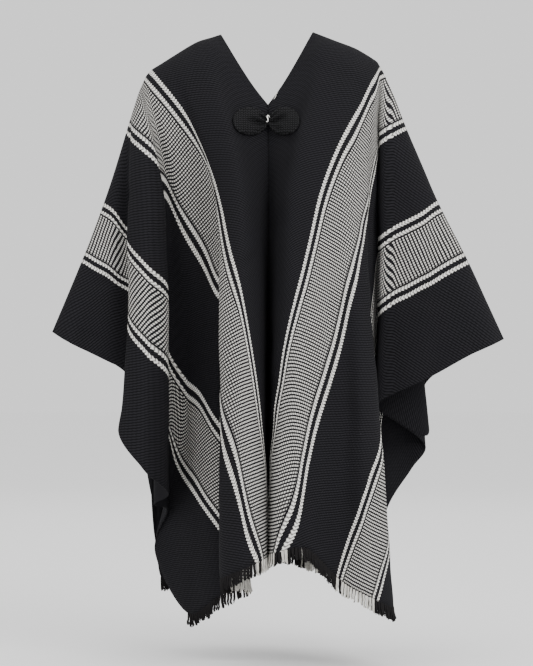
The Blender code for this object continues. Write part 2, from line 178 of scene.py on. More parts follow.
def wovenFinish():
    finish = Finish("wovenWool", weave["roughness"])
    place = finish.node("ShaderNodeUVMap", {"uv_map": "cloth"})
    right, down = finish.split(place)
    across = right / mm + (finish.noise(place, weave["swayScale"]) - 0.5) * weave["sway"]
    along = down / mm + (finish.noise(place, weave["driftScale"]) - 0.5) * weave["drift"]
    offset, middle = bandPlace(across)
    soft = weave["edgeSoft"]
    turn = along / weave["chainLong"]
    teeth = ((turn.fract() - 0.5).size() - 0.25) * weave["serration"] * 2
    outer = (middle + teeth).band(*weave["outerStripe"], soft)
    inner = (middle + teeth).band(*weave["innerStripe"], soft)
    stripe = finish.maths("MAXIMUM", outer, inner)
    check = 1 - middle.rise(weave["checkHalf"] - soft, weave["checkHalf"] + soft)

    # the check: white rows along the weft, notched by small dark squares
    cellSoft = weave["cellSoft"]
    notchX = (offset / weave["cellWide"]).fromMiddle().size()
    rowY = (along / weave["cellLong"]).fromMiddle().size()
    whiteRow = 1 - rowY.rise(weave["rowShare"] - cellSoft, weave["rowShare"] + cellSoft)
    notch = 1 - notchX.rise(weave["notchShare"] - cellSoft, weave["notchShare"] + cellSoft)
    dot = whiteRow * (1 - notch * weave["notchDark"])

    # columns of slanted loops in each white stripe, every other one slanted the other way; the gaps between
    # the loops and the sides of each column are darkened as painted shade
    column = (middle - weave["outerStripe"][0]) / weave["chainWide"] + 8
    loopX = column.fromMiddle()
    slant = (column / 2).fract().rise(0.499, 0.501) * 2 - 1
    loopY = (turn + loopX * slant * weave["chainSlant"] / 2).fromMiddle().size()
    loopSideShade = (loopX * loopX).rise(*weave["chainSides"]) * weave["chainSideShade"]
    loop = (1 - loopY.rise(weave["chainGap"], weave["chainFull"])) * (1 - loopSideShade)

    # the ground: slanted ribs of small floats, coloured black on the float tops with painted shade in the
    # grooves between them
    row = (along + across * weave["twillSlope"]) / weave["twillLong"]
    ribX = (across / weave["twillWide"] + row.floor() * 0.5).fromMiddle()
    ribY = row.fromMiddle()
    rib = 1 - (ribX * ribX * weave["twillBreak"] + ribY * ribY).rise(*weave["twillRise"])

    fuzz = finish.noise(place, weave["fuzzScale"], 3.0)
    fuzzShare = fuzz * weave["fuzz"]
    shade = (finish.noise(place, weave["shadeScale"], 3.0) - weave["shadeStart"]) * weave["shadeShare"]
    ground = finish.mix(rib * weave["ribShare"] + fuzzShare, weave["twillGrooveShade"], weave["black"])
    ground = finish.mix(shade, ground, weave["shaded"])
    # the white loops, with painted shade in their gaps and at their sides
    wool = finish.mix(loop * weave["loopShare"] + fuzzShare, weave["creamLoopShade"], weave["cream"])
    rowWool = finish.mix(fuzz * 0.5, weave["rowCream"], weave["rowWorn"])
    finish.color(finish.mix(stripe, finish.mix(check * dot, ground, rowWool), wool))
    height = rib * (1 - stripe) * (1 - check) * weave["ribHigh"] + check * dot * weave["dotHigh"]
    finish.relief(height + stripe * loop + fuzzShare, weave["relief"])
    return finish.material


yarn = {
    # edge is where a tuft's outermost strands begin, which are coloured dark as painted shade between tufts
    "blackShare": 0.05, "edge": 0.9, "edgeSoft": 0.2, "plyScale": 700, "roughness": 0.95, "relief": 0.2,
    "pale": ((0.42, 0.40, 0.36), (0.80, 0.78, 0.73)), "dark": ((0.004, 0.004, 0.005), (0.020, 0.018, 0.018)),
}


def fringeFinish():
    finish = Finish("fringeYarn", yarn["roughness"])
    _, middle = bandPlace(finish.attribute("across") / mm)
    soft = yarn["edgeSoft"]
    bandEnd = weave["innerStripe"][1]
    stripes = middle.band(*weave["outerStripe"], soft)
    check = 1 - middle.rise(bandEnd - soft, bandEnd + soft)
    mostly = finish.attribute("tint") > yarn["blackShare"]
    # the outermost strands of each tuft under the check are coloured dark: painted shade in the gaps between
    # tufts
    inside = finish.attribute("edge") < yarn["edge"]
    white = finish.maths("MAXIMUM", stripes, check * mostly * inside)
    ply = finish.noise(finish.objectPlace(), yarn["plyScale"])
    finish.color(finish.mix(white, finish.mix(ply, *yarn["dark"]), finish.mix(ply, *yarn["pale"])))
    finish.relief(ply, yarn["relief"])
    return finish.material


knit = {
    "stitchWide": 5.8, "stitchLong": 4.9, "veeSlope": 0.55, "veeShade": 0.8, "sharpness": 1.8,
    "loopShare": 0.85, "fuzzShare": 0.2, "fuzzHigh": 0.3, "fuzzScale": 1200, "swayScale": 220, "sway": 0.9,
    # deep is painted shade between the stitches and top the lit tops of the loops
    "deep": (0.0002, 0.0002, 0.0003), "top": (0.030, 0.030, 0.032), "roughness": 0.95, "relief": 1.6,
}


def knitFinish():
    finish = Finish("bowKnit", knit["roughness"])
    place = finish.node("ShaderNodeUVMap", {"uv_map": "knit"})
    right, down = finish.split(place)
    sway = (finish.noise(place, knit["swayScale"]) - 0.5) * knit["sway"]
    vee = ((right / mm + sway) / knit["stitchWide"]).fromMiddle().size()
    row = ((down / mm + sway) / knit["stitchLong"] + vee * knit["veeSlope"]).fromMiddle()
    # each loop is coloured light at its middle and near black between the rows and between the legs of each
    # stitch: painted shade between stitches and lit loop tops
    loop = (1 - row.power(2)) * (1 - ((vee - 0.5) * 2).power(2) * knit["veeShade"])
    fuzz = finish.noise(place, knit["fuzzScale"], 3.0)
    share = loop.power(knit["sharpness"]) * knit["loopShare"] + fuzz * knit["fuzzShare"]
    finish.color(finish.mix(share, knit["deep"], knit["top"]))
    finish.relief(loop + fuzz * knit["fuzzHigh"], knit["relief"])
    return finish.material


spun = {"plyScale": 1500, "roughness": 0.9, "relief": 0.1}
polished = {
    "rubScale": 900, "roughness": 0.3, "relief": 0.03, "metallic": 1.0, "specular": 0.5,
    "dull": (0.70, 0.69, 0.66), "bright": (0.92, 0.91, 0.88),
}


def threadFinish(name, low, high):
    finish = Finish(name, spun["roughness"])
    ply = finish.noise(finish.objectPlace(), spun["plyScale"])
    finish.color(finish.mix(ply, low, high))
    finish.relief(ply, spun["relief"])
    return finish.material


def pinFinish():
    finish = Finish("palePin", polished["roughness"], polished["metallic"], polished["specular"])
    rub = finish.noise(finish.objectPlace(), polished["rubScale"], 3.0)
    finish.color(finish.mix(rub, polished["dull"], polished["bright"]))
    finish.relief(rub, polished["relief"])
    return finish.material


wovenWool = wovenFinish()
fringeYarn = fringeFinish()
bowKnit = knitFinish()
blackThread = threadFinish("blackThread", (0.006, 0.006, 0.007), (0.022, 0.022, 0.025))
whiteThread = threadFinish("whiteThread", (0.55, 0.54, 0.50), (0.80, 0.79, 0.75))
palePin = pinFinish()
print("finishes made")


# The cloth's form. Each fold line runs from the shoulder line down to the edge of the cloth,
# with its reach out from the centre, the place across the cloth that lies there, and its depth,
# one third and two thirds of the way down and at the end.
Shoulder = namedtuple("Shoulder", "cloth out height depth radius")
shoulderLines = {
    "left": [
        Shoulder(0, 80, 0, 0, 40),
        Shoulder(48, 126, -15, 0, 43),
        Shoulder(132, 197, -60, 0, 48),
        Shoulder(144, 206, -70, 0, 48),
        Shoulder(178, 219, -99, 0, 46),
        Shoulder(251, 241, -168, 0, 44),
        Shoulder(386, 276, -287, -15, 43),
        Shoulder(506, 314, -388, -32, 42),
        Shoulder(640, 362, -505, -50, 40),
    ],
    "right": [
        Shoulder(0, 76, 4, 0, 40),
        Shoulder(82, 151, -25, 0, 46),
        Shoulder(121, 184, -46, 0, 48),
        Shoulder(154, 201, -73, 0, 46),
        Shoulder(250, 235, -161, 0, 44),
        Shoulder(386, 287, -282, 0, 43),
        Shoulder(506, 341, -390, -6, 42),
        Shoulder(640, 399, -517, -12, 40),
    ],
}
Fold = namedtuple(
    "Fold", "start out1 cloth1 depth1 out2 cloth2 depth2 outEnd highEnd depthEnd edgeEnd")
foldLines = {
    ("left", "front"): [
        Fold(0, 0, 0, -86, 0, 0, -50, 0, -876, -40, 0),
        Fold(20, 18, 40, -118, 15, 122, -168, 8, -877, -182, 232),
        Fold(42, 46, 94, -153, 43, 192, -184, 42, -892, -195, 272),
        Fold(85, 82, 155, -122, 79, 238, -145, 79, -912, -153, 332),
        Fold(102, 71, 184, -85, 37, 340, -50, 31, -922, -62, 493),
        Fold(116, 83, 202, -77, 82, 384, -60, 84, -951, -48, 580),
        Fold(132, 107, 235, -51, 116, 434, -34, 135, -984, 9, 640),
        Fold(143, 144, 252, -36, 140, 406, -16, 195, -880, 60, 775),
        Fold(150, 168, 269, -28, 172, 410, -22, 172, -808, 8, 853),
        Fold(160, 180, 281, -38, 190, 450, -46, 192, -796, -30, 979),
        Fold(177, 172, 311, -74, 167, 481, -84, 167, -777, -68, 1105),
        Fold(192, 201, 330, -105, 201, 491, -128, 206, -731, -136, 1178),
        Fold(211, 233, 352, -77, 233, 498, -99, 248, -668, -112, 1251),
        Fold(221, 225, 352, -60, 210, 503, -60, 208, -596, -62, 1343),
        Fold(231, 233, 345, -44, 233, 498, -48, 233, -571, -60, 1430),
        Fold(348, 266, 445, -55, 266, 544, -58, 265, -556, -61, 1462),
        Fold(459, 299, 520, -64, 299, 580, -66, 299, -539, -68, 1503),
        Fold(561, 333, 592, -76, 333, 614, -78, 333, -522, -80, 1542),
        Fold(640, 362, 640, -50, 362, 640, -50, 362, -505, -50, 1575),
    ],
    ("left", "back"): [
        Fold(0, 0, 0, 100, 0, 0, 105, 0, -885, 95, 0),
        Fold(20, 22, 38, 122, 22, 46, 138, 20, -889, 136, 46),
        Fold(42, 45, 80, 140, 42, 95, 165, 40, -895, 170, 95),
        Fold(85, 78, 140, 95, 76, 185, 85, 75, -900, 75, 205),
        Fold(102, 100, 180, 130, 104, 260, 160, 105, -905, 175, 320),
        Fold(116, 118, 205, 100, 130, 310, 90, 135, -912, 80, 430),
        Fold(132, 140, 235, 118, 158, 370, 132, 163, -920, 140, 520),
        Fold(143, 157, 262, 84, 180, 430, 72, 184, -928, 72, 640),
        Fold(150, 172, 280, 96, 193, 455, 78, 195, -860, 66, 725),
        Fold(160, 184, 296, 82, 203, 470, 64, 202, -780, 60, 830),
        Fold(177, 197, 315, 96, 213, 490, 84, 213, -725, 72, 960),
        Fold(192, 207, 335, 80, 224, 505, 66, 224, -680, 58, 1080),
        Fold(211, 219, 352, 84, 235, 515, 78, 240, -640, 74, 1200),
        Fold(221, 229, 362, 66, 241, 510, 60, 243, -608, 58, 1330),
        Fold(231, 236, 360, 46, 240, 500, 44, 241, -580, 46, 1420),
        Fold(348, 266, 445, 38, 266, 544, 38, 266, -558, 36, 1462),
        Fold(459, 299, 520, 18, 299, 580, 18, 299, -539, 17, 1503),
        Fold(561, 333, 592, 2, 333, 614, 1, 333, -522, 0, 1542),
        Fold(640, 362, 640, -50, 362, 640, -50, 362, -505, -50, 1575),
    ],
    ("right", "front"): [
        Fold(0, 0, 0, -86, 0, 0, -50, 0, -876, -40, 0),
        Fold(20, 18, 36, -118, 15, 124, -166, 9, -867, -182, 230),
        Fold(42, 41, 80, -150, 43, 178, -184, 60, -856, -200, 271),
        Fold(77, 114, 182, -150, 127, 286, -163, 118, -911, -174, 401),
        Fold(99, 143, 218, -136, 156, 332, -178, 165, -937, -190, 478),
        Fold(112, 162, 258, -105, 184, 379, -139, 205, -958, -145, 570),
        Fold(122, 167, 280, -60, 167, 459, -60, 192, -948, -85, 640),
        Fold(128, 176, 294, -45, 172, 445, -38, 158, -825, -38, 816),
        Fold(131, 186, 306, -28, 186, 485, -20, 181, -672, -14, 1088),
        Fold(138, 190, 303, -44, 190, 471, -48, 185, -625, -51, 1335),
        Fold(190, 213, 339, -46, 213, 490, -49, 213, -608, -52, 1368),
        Fold(250, 235, 379, -46, 235, 510, -49, 235, -598, -53, 1391),
        Fold(320, 262, 425, -46, 262, 535, -49, 262, -586, -52, 1420),
        Fold(386, 287, 471, -46, 287, 555, -48, 287, -573, -50, 1450),
        Fold(505, 341, 550, -49, 341, 595, -50, 341, -543, -51, 1511),
        Fold(578, 372, 598, -50, 372, 619, -51, 372, -529, -52, 1545),
        Fold(640, 399, 640, -12, 399, 640, -12, 399, -517, -12, 1575),
    ],
    ("right", "back"): [
        Fold(0, 0, 0, 100, 0, 0, 105, 0, -885, 95, 0),
        Fold(20, 22, 38, 122, 22, 46, 138, 21, -889, 136, 46),
        Fold(42, 45, 80, 140, 45, 100, 165, 45, -895, 170, 95),
        Fold(77, 80, 135, 95, 82, 180, 90, 82, -900, 80, 200),
        Fold(99, 105, 175, 130, 112, 245, 160, 115, -905, 170, 310),
        Fold(112, 125, 200, 100, 140, 310, 85, 148, -912, 75, 430),
        Fold(122, 145, 230, 115, 165, 365, 135, 178, -920, 150, 520),
        Fold(128, 160, 255, 90, 185, 430, 90, 190, -930, 80, 640),
        Fold(131, 172, 275, 95, 201, 455, 90, 205, -812, 75, 800),
        Fold(138, 185, 300, 100, 231, 480, 105, 250, -741, 95, 915),
        Fold(190, 205, 330, 85, 246, 490, 90, 273, -705, 90, 970),
        Fold(250, 218, 355, 50, 200, 500, 35, 186, -637, 25, 1120),
        Fold(320, 245, 410, 42, 258, 530, 28, 272, -682, 30, 1245),
        Fold(386, 283, 460, 46, 276, 560, 52, 268, -600, 60, 1350),
        Fold(505, 341, 550, 36, 341, 595, 36, 330, -548, 37, 1490),
        Fold(578, 372, 598, 28, 372, 619, 27, 369, -530, 26, 1540),
        Fold(640, 399, 640, -12, 399, 640, -12, 399, -517, -12, 1575),
    ],
}
slitEnds = {"front": (-127.0, -62.0), "back": (-111.0, 85.0)}
cloth = {
    "width": 640.0, "halfLength": 935.0, "slitLength": 160.0, "thickness": 2.2, "seamGap": 0.06,
    "crowding": 1.9, "sleeveCrowding": 1.15, "sleeveStart": 150.0, "sleeveEnd": 400.0,
    "slitShare": 5 / 14, "slitRows": 31, "seamRows": 88, "rowSpread": 0.76,
    "columnWidth": 8.2, "slopeSpan": 26.0, "steepestRun": 0.2, "slitRoundness": 0.6, "slitSag": 0.18,
}


def ease(stations, places):  # monotone cubic through evenly spaced stations
    y = np.array(stations, float)
    last = len(y) - 1
    rise = np.diff(y) * last
    slope = np.zeros(last + 1)
    for i in range(1, last):
        if rise[i - 1] * rise[i] > 0:
            slope[i] = 2 * rise[i - 1] * rise[i] / (rise[i - 1] + rise[i])
    slope[0] = 1.5 * rise[0] - 0.5 * slope[1]
    slope[last] = 1.5 * rise[last - 1] - 0.5 * slope[last - 1]
    at = np.clip(np.asarray(places) * last, 0, last)
    i = np.minimum(at.astype(int), last - 1)
    t = at - i
    value = y[i] * (1 + 2 * t) * (1 - t) ** 2 + y[i + 1] * t * t * (3 - 2 * t)
    return value + (slope[i] * t * (1 - t) ** 2 - slope[i + 1] * t * t * (1 - t)) / last


def shoulderAt(side, place):
    table = np.array(shoulderLines[side], float)
    return Shoulder(place, *(np.interp(place, table[:, 0], table[:, k]) for k in range(1, 5)))


def roundingHeight(side, place):
    above = shoulderAt(side, max(place - cloth["slopeSpan"], 0))
    below = shoulderAt(side, min(place + cloth["slopeSpan"], cloth["width"]))
    run = below.out - above.out
    share = run / np.hypot(run, above.height - below.height)
    return shoulderAt(side, place).radius / max(share, cloth["steepestRun"])


def rowPlaces():
    slitEnd = cloth["slitShare"] ** (1 / cloth["rowSpread"])
    upper = np.linspace(0, slitEnd, cloth["slitRows"] + 1)
    lower = np.linspace(slitEnd, 1, cloth["seamRows"] + 1)[1:]
    return np.concatenate([upper, lower]) ** cloth["rowSpread"]


rows = rowPlaces()


def rowDrops(place):
    sleeve = np.clip((place - cloth["sleeveStart"]) / (cloth["sleeveEnd"] - cloth["sleeveStart"]), 0, 1)
    return rows ** (cloth["crowding"] + (cloth["sleeveCrowding"] - cloth["crowding"]) * sleeve)


def foldPoints(side, half, fold):
    top = shoulderAt(side, fold.start)
    drop = rowDrops(fold.start)
    out = ease((top.out, fold.out1, fold.out2, fold.outEnd), drop)
    height = top.height + (fold.highEnd - top.height) * drop
    across = ease((fold.start, fold.cloth1, fold.cloth2, min(fold.edgeEnd, cloth["width"])), drop)
    first = top.depth + (top.radius if half == "back" else -top.radius)
    depth = ease((first, fold.depth1, fold.depth2, fold.depthEnd), drop)
    over = np.clip((top.height - height) / roundingHeight(side, fold.start), 0, 1)
    depth = top.depth + (depth - top.depth) * np.sqrt(1 - (1 - over) ** 2)
    points = np.stack([out, depth, height], 1)
    run = np.concatenate([[0], np.cumsum(np.linalg.norm(np.diff(points, axis=0), axis=1))])
    length = cloth["halfLength"] - max(fold.edgeEnd - cloth["width"], 0)
    return np.column_stack([points, across, length * run / max(run[-1], 1.0)])


def centrePoints(side, half, fold):  # down the neck slit, then down the centre seam
    top = shoulderAt(side, 0)
    slitHeight, slitDepth = slitEnds[half]
    drop = rowDrops(0)
    turn = drop[cloth["slitRows"]]
    slit = np.clip(drop / turn, 0, 1)
    seam = np.clip((drop - turn) / (1 - turn), 0, 1)
    out = top.out * (1 - slit)
    sunk = slit + cloth["slitSag"] * slit * (1 - slit)
    height = top.height + (slitHeight - top.height) * sunk + (fold.highEnd - slitHeight) * seam
    roundness = cloth["slitRoundness"]
    over = roundness * np.sqrt(1 - (1 - slit) ** 2) + (1 - roundness) * slit
    below = ease((slitDepth, fold.depth1, fold.depth2, fold.depthEnd), seam)
    depth = np.where(seam > 0, below, slitDepth * over)
    length = cloth["slitLength"] * slit + (cloth["halfLength"] - cloth["slitLength"]) * seam
    return np.column_stack([out, depth, height, 0 * drop, length])


def columnCounts(lines):
    counts = []
    for i in range(len(lines["front"]) - 1):
        gaps = [np.linalg.norm(grid[i + 1][:, :3] - grid[i][:, :3], axis=1).max() for grid in lines.values()]
        counts.append(int(max(2, np.ceil(max(gaps) / cloth["columnWidth"]))))
    return counts


def acrossFolds(lines, counts):  # centripetal Catmull-Rom from fold line to fold line
    apart = np.sqrt(np.linalg.norm(np.diff(lines[:, :, :3], axis=0), axis=2)) + 0.3
    knots = np.concatenate([np.zeros((1, len(rows))), np.cumsum(apart, axis=0)])[:, :, None]
    rise = np.diff(lines, axis=0) / np.diff(knots, axis=0)
    slope = np.zeros_like(lines)
    slope[0] = rise[0]
    slope[-1] = rise[-1]
    slope[1:-1] = rise[:-1] + rise[1:] - (lines[2:] - lines[:-2]) / (knots[2:] - knots[:-2])
    columns = []
    for i, count in enumerate(counts):
        span = knots[i + 1] - knots[i]
        for k in range(count):
            t = k / count
            value = lines[i] * (1 + 2 * t) * (1 - t) ** 2 + lines[i + 1] * t * t * (3 - 2 * t)
            columns.append(value + span * (slope[i] * t * (1 - t) ** 2 - slope[i + 1] * t * t * (1 - t)))
    columns.append(lines[-1])
    return np.array(columns)


def partSeam(grid):  # the sewn edge stands off the centre by half the gap and half the wall
    for row in range(cloth["slitRows"], len(rows)):
        inward = grid[0, row, :3] - grid[1, row, :3]
        down = grid[0, min(row + 1, len(rows) - 1), :3] - grid[0, row - 1, :3]
        normal = np.cross(inward, down)
        lean = abs(normal[0]) / np.linalg.norm(normal)
        grid[0, row, 0] = cloth["seamGap"] / 2 + lean * cloth["thickness"] / 2
        nearest = cloth["seamGap"] + cloth["thickness"] / 2
        grid[1:, row, 0] = np.maximum(grid[1:, row, 0], nearest)


def outwardNormals(grid, side, half):
    across = np.gradient(grid[:, :, :3], axis=0)
    down = np.gradient(grid[:, :, :3], axis=1)
    normal = np.cross(across, down)
    normal /= np.linalg.norm(normal, axis=2)[:, :, None] + 1e-9
    return normal * (1 if (side == "left") == (half == "front") else -1)


# Soft creases, drawn as seen from the front: from and to as out and height, then how wide and
# how deep, with + for a ridge.
Crease = namedtuple("Crease", "fromX fromZ toX toZ wide deep")
creases = {
    "front": [
        Crease(-112, -186, -22, -178, 7, -2.4), Crease(-100, -194, -30, -188, 8, 1.2),
        Crease(10, -184, 74, -187, 7, -1.8), Crease(14, -176, 66, -178, 8, 1.0),
        Crease(-58, -402, -8, -372, 9, -2.4), Crease(-64, -388, -14, -360, 9, 1.4),
        Crease(-120, -300, -70, -420, 12, -1.8), Crease(-170, -230, -130, -330, 13, 1.8),
        Crease(-305, -424, -240, -420, 8, -2.0), Crease(-312, -438, -236, -436, 10, 1.4),
        Crease(-330, -505, -262, -520, 9, -1.6), Crease(-256, -250, -206, -300, 12, -2.2),
        Crease(-270, -330, -214, -352, 12, 1.8), Crease(240, -250, 204, -330, 12, -2.0),
        Crease(300, -440, 216, -452, 9, -2.0), Crease(322, -468, 214, -474, 10, 1.6),
        Crease(360, -520, 250, -546, 9, -1.6), Crease(286, -350, 208, -372, 12, 1.8),
        Crease(60, -120, 120, -90, 10, -1.2), Crease(-60, -120, -124, -94, 10, -1.2),
        Crease(96, -240, 60, -360, 14, 1.8), Crease(130, -420, 90, -560, 14, -1.8),
        Crease(-96, -520, -60, -640, 13, -1.6), Crease(150, -640, 120, -780, 14, 1.8),
        Crease(-150, -560, -120, -700, 13, 1.6), Crease(-190, -480, -214, -600, 12, -1.8),
        Crease(70, -700, 60, -860, 12, -1.4), Crease(-40, -720, -56, -860, 12, 1.3),
    ],
    "back": [
        Crease(-100, -150, -20, -136, 9, -2.0), Crease(20, -140, 96, -152, 9, -1.8),
        Crease(-60, -300, -10, -280, 10, -2.0), Crease(12, -330, 80, -300, 10, 1.6),
        Crease(-150, -260, -120, -380, 13, 1.8), Crease(130, -240, 150, -360, 13, -1.8),
        Crease(-300, -420, -230, -430, 9, -1.8), Crease(316, -450, 232, -442, 9, -1.8),
        Crease(-262, -270, -214, -310, 12, 1.8), Crease(252, -280, 212, -330, 12, 1.6),
        Crease(-90, -520, -70, -660, 13, -1.6), Crease(96, -500, 120, -640, 13, 1.6),
        Crease(-150, -620, -140, -780, 13, 1.6), Crease(60, -700, 66, -840, 12, -1.5),
        Crease(330, -500, 250, -530, 9, 1.4), Crease(-328, -500, -262, -522, 9, -1.4),
    ],
}
ripple = {"deep": 0.9, "waves": 9, "short": 55.0, "long": 190.0, "seed": 11, "edge": 22.0}


def creaseLift(grid, side, half):
    x, z = grid[:, :, 0], grid[:, :, 2]
    lift = np.zeros_like(x)
    for crease in creases[half]:
        run = np.array([crease.toX - crease.fromX, crease.toZ - crease.fromZ])
        length = np.linalg.norm(run)
        run = run / length
        along = ((x - crease.fromX) * run[0] + (z - crease.fromZ) * run[1]) / length
        beside = (x - crease.fromX) * run[1] - (z - crease.fromZ) * run[0]
        taper = np.clip(1 - np.abs(2 * along - 1), 0, 1)
        taper = taper * taper * (3 - 2 * taper)
        lift += crease.deep * taper * np.exp(-(beside / crease.wide) ** 2)
    random = np.random.default_rng(ripple["seed"] + (side == "left") * 2 + (half == "front"))
    across, down = grid[:, :, 3], grid[:, :, 4]
    for _ in range(ripple["waves"]):
        wave = random.uniform(ripple["short"], ripple["long"])
        turn, phase = random.uniform(0, 2 * np.pi, 2)
        place = (across * np.cos(turn) + down * np.sin(turn)) / wave * 2 * np.pi
        lift += ripple["deep"] / np.sqrt(ripple["waves"]) * np.sin(place + phase)
    still = np.clip(down / ripple["edge"], 0, 1) * np.clip((across - 2) / ripple["edge"], 0, 1)
    return lift * still * np.clip((cloth["width"] - across) / ripple["edge"], 0.2, 1)


def panelHalves(side):
    lines = {}
    for half in ("front", "back"):
        folds = foldLines[side, half]
        points = [centrePoints(side, half, folds[0])]
        lines[half] = np.array(points + [foldPoints(side, half, fold) for fold in folds[1:]])
    counts = columnCounts(lines)
    halves = {}
    for half, linesOfHalf in lines.items():
        grid = acrossFolds(linesOfHalf, counts)
        partSeam(grid)
        if side == "left":
            grid[:, :, 0] *= -1
        lift = creaseLift(grid, side, half)
        grid[:, :, :3] += outwardNormals(grid, side, half) * lift[:, :, None]
        halves[half] = grid
    return halves


def newObject(name, mesh, material):
    piece = bpy.data.objects.new(name, mesh)
    if material is not None:
        mesh.materials.append(material)
    bpy.context.scene.collection.objects.link(piece)
    return piece


def plainCopy(piece, name, material=None):  # the evaluated mesh, with the modifiers gone
    graph = bpy.context.evaluated_depsgraph_get()
    mesh = bpy.data.meshes.new_from_object(piece.evaluated_get(graph))
    mesh.name = name
    bpy.data.objects.remove(piece, do_unlink=True)
    if material is not None:
        mesh.materials.clear()
    done = newObject(name, mesh, material)
    mesh.shade_smooth()
    return done


def sheetMesh(name, halves):
    grid = np.concatenate([halves["back"][:, :0:-1], halves["front"]], axis=1)
    grid[:, :len(rows) - 1, 4] *= -1
    columns, count = grid.shape[:2]
    mesh = bpy.data.meshes.new(name)
    bm = bmesh.new()
    layer = bm.loops.layers.uv.new("cloth")
    verts = [[bm.verts.new(Vector(grid[i, j, :3]) * mm) for j in range(count)] for i in range(columns - 1)]
    cuff = bm.verts.new(Vector(grid[-1, len(rows) - 1, :3]) * mm)
    verts.append([cuff] * count)
    for i in range(columns - 1):
        for j in range(count - 1):
            places = ((i, j), (i + 1, j), (i + 1, j + 1), (i, j + 1))
            corners = [verts[a][b] for a, b in places]
            face = bm.faces.new(dict.fromkeys(corners))
            for loop in face.loops:
                a, b = places[corners.index(loop.vert)]
                loop[layer].uv = Vector(grid[a, b, 3:5]) * mm
    bmesh.ops.recalc_face_normals(bm, faces=bm.faces)
    bm.to_mesh(mesh)
    bm.free()
    return mesh


def makePanel(side, halves):
    name = f"wovenPanel_{side}"
    sheet = sheetMesh(name, halves)
    piece = newObject(name, sheet.copy(), wovenWool)
    wall = piece.modifiers.new("wall", "SOLIDIFY")
    wall.thickness = cloth["thickness"] * mm
    wall.offset = 0.0
    return plainCopy(piece, name), sheet


panels = {}
sheets = {}
forms = {}
for side in ("left", "right"):
    forms[side] = panelHalves(side)
    panels[side], sheets[side] = makePanel(side, forms[side])
print("cloth panels made:", {side: len(panel.data.polygons) for side, panel in panels.items()})


# Geometry Nodes for what repeats along a path of the cloth.
class Tree:
    def __init__(self, name, inputs):
        self.tree = bpy.data.node_groups.new(name, "GeometryNodeTree")
        self.tree.interface.new_socket("Geometry", in_out="INPUT", socket_type="NodeSocketGeometry")
        self.tree.interface.new_socket("Geometry", in_out="OUTPUT", socket_type="NodeSocketGeometry")
        for label, kind in inputs.items():
            self.tree.interface.new_socket(label, in_out="INPUT", socket_type=f"NodeSocket{kind}")
        self.given = self.tree.nodes.new("NodeGroupInput").outputs
        self.result = self.tree.nodes.new("NodeGroupOutput").inputs[0]

    def node(self, kind, settings=None, sockets=None, output=0):
        made = self.tree.nodes.new(kind)
        for key, value in (settings or {}).items():
            setattr(made, key, value)
        for key, value in (sockets or {}).items():
            if isinstance(value, bpy.types.NodeSocket):
                self.tree.links.new(value, made.inputs[key])
            else:
                made.inputs[key].default_value = value
        return made.outputs[output]

    def maths(self, operation, first, second):
        return self.node("ShaderNodeMath", {"operation": operation}, {0: first, 1: second})

    def end(self, geometry):
        sockets = {"Geometry": geometry, "Material": self.given["Material"]}
        self.tree.links.new(self.node("GeometryNodeSetMaterial", None, sockets), self.result)
        return self.tree


def attributeOf(tree, name, kind):
    return tree.node("GeometryNodeInputNamedAttribute", {"data_type": kind}, {"Name": name})


def store(tree, geometry, name, value):
    settings = {"data_type": "FLOAT", "domain": "POINT"}
    sockets = {"Geometry": geometry, "Name": name, "Value": value}
    return tree.node("GeometryNodeStoreNamedAttribute", settings, sockets)


def randomVector(tree, low, high, seed):
    sockets = {"Min": low, "Max": high, "Seed": seed}
    return tree.node("FunctionNodeRandomValue", {"data_type": "FLOAT_VECTOR"}, sockets)


def tube(tree, curve, radius):
    sockets = {"Resolution": 5, "Radius": radius}
    ring = tree.node("GeometryNodeCurvePrimitiveCircle", None, sockets)
    sockets = {"Curve": curve, "Profile Curve": ring, "Fill Caps": True}
    return tree.node("GeometryNodeCurveToMesh", None, sockets)


def placedOn(tree, points, piece, rotation, scale):
    sockets = {"Points": points, "Instance": piece, "Rotation": rotation, "Scale": scale}
    placed = tree.node("GeometryNodeInstanceOnPoints", None, sockets)
    return tree.node("GeometryNodeRealizeInstances", None, {"Geometry": placed})


def facing(tree):  # Z runs down the path and Y out of the cloth
    down = attributeOf(tree, "down", "FLOAT_VECTOR")
    outward = attributeOf(tree, "outward", "FLOAT_VECTOR")
    first = tree.node("FunctionNodeAlignRotationToVector", {"axis": "Z"}, {"Vector": down})
    settings = {"axis": "Y", "pivot_axis": "Z"}
    return tree.node("FunctionNodeAlignRotationToVector", settings, {"Rotation": first, "Vector": outward})


def pitchedPoints(tree, pitch):
    curve = tree.node("GeometryNodeMeshToCurve", None, {"Mesh": tree.given["Geometry"]})
    return tree.node("GeometryNodeResampleCurve", {"mode": "LENGTH"}, {"Curve": curve, "Length": pitch})


fringe = {
    "pitch": 5.8, "length": 21.5, "radius": 0.62, "lean": 0.06, "curl": 9.0, "root": 0.8,
    "tuftWide": 3.7, "tuftDeep": 1.5, "strandsWide": 5, "strandsDeep": 2, "steps": 6, "taper": 0.25,
    "splayLow": (-0.07, -0.07, -3.0), "splayHigh": (0.07, 0.07, 3.0),
    "strandLow": (0.9, 0.9, 0.9), "strandHigh": (1.15, 1.15, 1.04),
    "tuftLow": (0.85, 0.8, 0.88), "tuftHigh": (1.1, 1.2, 1.06), "curlScale": 130.0, "curlPower": 1.6,
}


